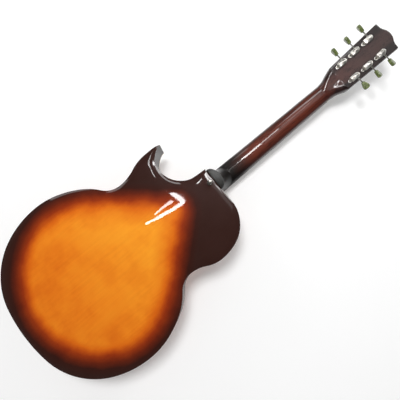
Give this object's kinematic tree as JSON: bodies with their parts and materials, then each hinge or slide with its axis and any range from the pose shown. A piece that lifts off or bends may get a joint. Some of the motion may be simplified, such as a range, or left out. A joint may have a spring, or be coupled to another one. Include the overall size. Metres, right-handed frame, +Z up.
{
  "type": "archtop guitar",
  "caption": "Hollow archtop guitar with arched plates, sharp cutaway, set neck, geared tuners, height-adjustable bridge, trapeze tailpiece, pickups and controls.",
  "frame": {"origin": "seat of the strap button on the tail rim, on the centre line", "axes": "+Z up the neck, -Y out of the face, +Y out of the back, +X to the treble side"},
  "size_m": [0.413, 0.1408, 1.0717],
  "materials": {
    "burst_back": "gloss",
    "burst_top": "gloss",
    "burst_side": "gloss",
    "binding": "gloss",
    "inner_wood": "bare",
    "neck_wood": "gloss",
    "dark_wood": "satin",
    "black_trim": "gloss",
    "pearl": "gloss",
    "bone": "satin",
    "steel": "plain",
    "nickel": "polished",
    "button_plastic": "gloss",
    "knob_plastic": "gloss",
    "ivory_tip": "gloss"
  },
  "bodies": {
    "guitar": {"side_bass": "burst_side", "side_treble": "burst_side", "side_cutaway": "burst_side", "neck_block": "inner_wood", "tail_block": "inner_wood", "linings_and_bars": "inner_wood", "back_plate": "burst_back", "top_plate": "burst_top", "top_binding": "binding", "neck": "neck_wood", "heel_cap": "black_trim", "head_veneer": "black_trim", "truss_rod_cover": "black_trim", "truss_rod": "steel", "fret_markers": "pearl", "fingerboard": "dark_wood", "frets": "steel", "nut": "bone", "strings": "steel", "bridge_base": "dark_wood", "bridge_studs": "nickel", "tailpiece": "nickel", "tailpiece_hanger": "nickel", "pickup_rings": "black_trim", "pickups": "nickel", "pickup_poles": "nickel", "control_pots": "nickel", "switch_body": "nickel", "jack_plate": "nickel", "jack_socket": "nickel", "tuner_housings": "nickel", "tuner_bushings": "nickel", "strap_buttons": "nickel", "wood_screws": "nickel"},
    "tuner_1": {"tuner_button_1": "button_plastic", "tuner_worm_1": "nickel"},
    "post_1": {"tuner_post_1": "nickel"},
    "tuner_2": {"tuner_button_2": "button_plastic", "tuner_worm_2": "nickel"},
    "post_2": {"tuner_post_2": "nickel"},
    "tuner_3": {"tuner_button_3": "button_plastic", "tuner_worm_3": "nickel"},
    "post_3": {"tuner_post_3": "nickel"},
    "tuner_4": {"tuner_button_4": "button_plastic", "tuner_worm_4": "nickel"},
    "post_4": {"tuner_post_4": "nickel"},
    "tuner_5": {"tuner_button_5": "button_plastic", "tuner_worm_5": "nickel"},
    "post_5": {"tuner_post_5": "nickel"},
    "tuner_6": {"tuner_button_6": "button_plastic", "tuner_worm_6": "nickel"},
    "post_6": {"tuner_post_6": "nickel"},
    "knob_1": {"knob_1": "knob_plastic"},
    "knob_2": {"knob_2": "knob_plastic"},
    "knob_3": {"knob_3": "knob_plastic"},
    "knob_4": {"knob_4": "knob_plastic"},
    "switch_lever": {"switch_lever": "ivory_tip"},
    "saddle": {"bridge_saddle": "dark_wood"},
    "thumbwheel_bass": {"thumbwheel_bass": "nickel"},
    "thumbwheel_treble": {"thumbwheel_treble": "nickel"}
  },
  "joints": [
    {"name": "tuner_1_turn", "type": "hinge", "parent": "guitar", "child": "tuner_1", "pos_m": [0.022, 0.00789, 0.94361], "axis": [1, 0, 0], "continuous": true},
    {"name": "post_1_turn", "type": "hinge", "parent": "guitar", "child": "post_1", "pos_m": [0.022, 0.00188, 0.93867], "axis": [0, 0.9516, -0.3074], "continuous": true},
    {"name": "tuner_2_turn", "type": "hinge", "parent": "guitar", "child": "tuner_2", "pos_m": [0.022, 0.01911, 0.97835], "axis": [1, 0, 0], "continuous": true},
    {"name": "post_2_turn", "type": "hinge", "parent": "guitar", "child": "post_2", "pos_m": [0.022, 0.0131, 0.97341], "axis": [0, 0.9516, -0.3074], "continuous": true},
    {"name": "tuner_3_turn", "type": "hinge", "parent": "guitar", "child": "tuner_3", "pos_m": [0.022, 0.03033, 1.01308], "axis": [1, 0, 0], "continuous": true},
    {"name": "post_3_turn", "type": "hinge", "parent": "guitar", "child": "post_3", "pos_m": [0.022, 0.02432, 1.00814], "axis": [0, 0.9516, -0.3074], "continuous": true},
    {"name": "tuner_4_turn", "type": "hinge", "parent": "guitar", "child": "tuner_4", "pos_m": [-0.022, 0.03033, 1.01308], "axis": [-1, 0, 0], "continuous": true},
    {"name": "post_4_turn", "type": "hinge", "parent": "guitar", "child": "post_4", "pos_m": [-0.022, 0.02432, 1.00814], "axis": [0, 0.9516, -0.3074], "continuous": true},
    {"name": "tuner_5_turn", "type": "hinge", "parent": "guitar", "child": "tuner_5", "pos_m": [-0.022, 0.01911, 0.97835], "axis": [-1, 0, 0], "continuous": true},
    {"name": "post_5_turn", "type": "hinge", "parent": "guitar", "child": "post_5", "pos_m": [-0.022, 0.0131, 0.97341], "axis": [0, 0.9516, -0.3074], "continuous": true},
    {"name": "tuner_6_turn", "type": "hinge", "parent": "guitar", "child": "tuner_6", "pos_m": [-0.022, 0.00789, 0.94361], "axis": [-1, 0, 0], "continuous": true},
    {"name": "post_6_turn", "type": "hinge", "parent": "guitar", "child": "post_6", "pos_m": [-0.022, 0.00188, 0.93867], "axis": [0, 0.9516, -0.3074], "continuous": true},
    {"name": "knob_1_turn", "type": "hinge", "parent": "guitar", "child": "knob_1", "pos_m": [0.11874, -0.05646, 0.17258], "axis": [0.1154, -0.9932, -0.0139], "range_deg": [-150, 150]},
    {"name": "knob_2_turn", "type": "hinge", "parent": "guitar", "child": "knob_2", "pos_m": [0.15797, -0.04873, 0.15133], "axis": [0.1926, -0.9803, -0.0429], "range_deg": [-150, 150]},
    {"name": "knob_3_turn", "type": "hinge", "parent": "guitar", "child": "knob_3", "pos_m": [0.10118, -0.05604, 0.11788], "axis": [0.1042, -0.9911, -0.0827], "range_deg": [-150, 150]},
    {"name": "knob_4_turn", "type": "hinge", "parent": "guitar", "child": "knob_4", "pos_m": [0.13939, -0.04833, 0.10089], "axis": [0.1626, -0.9808, -0.1078], "range_deg": [-150, 150]},
    {"name": "switch_throw", "type": "hinge", "parent": "guitar", "child": "switch_lever", "pos_m": [-0.09454, -0.04609, 0.46442], "axis": [0.9706, -0.1616, 0.1782], "range_deg": [-18, 18]},
    {"name": "bridge_height", "type": "slide", "parent": "guitar", "child": "saddle", "axis": [0, -1, 0], "range_m": [-0.0021, 0.0021], "deforming": ["strings"]},
    {"name": "thumbwheel_bass_turn", "type": "hinge", "parent": "saddle", "child": "thumbwheel_bass", "pos_m": [-0.037, -0.0577, 0.2415], "axis": [0, -1, 0], "range_deg": [-1085, 1085]},
    {"name": "thumbwheel_treble_turn", "type": "hinge", "parent": "saddle", "child": "thumbwheel_treble", "pos_m": [0.037, -0.0577, 0.2415], "axis": [0, -1, 0], "range_deg": [-1085, 1085]}
  ],
  "couplings": [
    {"joint": "post_1_turn", "follows": "tuner_1_turn", "ratio": 0.066667},
    {"joint": "post_2_turn", "follows": "tuner_2_turn", "ratio": 0.066667},
    {"joint": "post_3_turn", "follows": "tuner_3_turn", "ratio": 0.066667},
    {"joint": "post_4_turn", "follows": "tuner_4_turn", "ratio": 0.066667},
    {"joint": "post_5_turn", "follows": "tuner_5_turn", "ratio": 0.066667},
    {"joint": "post_6_turn", "follows": "tuner_6_turn", "ratio": 0.066667},
    {"joint": "thumbwheel_bass_turn", "follows": "bridge_height", "rad_per_m": 8976},
    {"joint": "thumbwheel_treble_turn", "follows": "bridge_height", "rad_per_m": 8976}
  ]
}
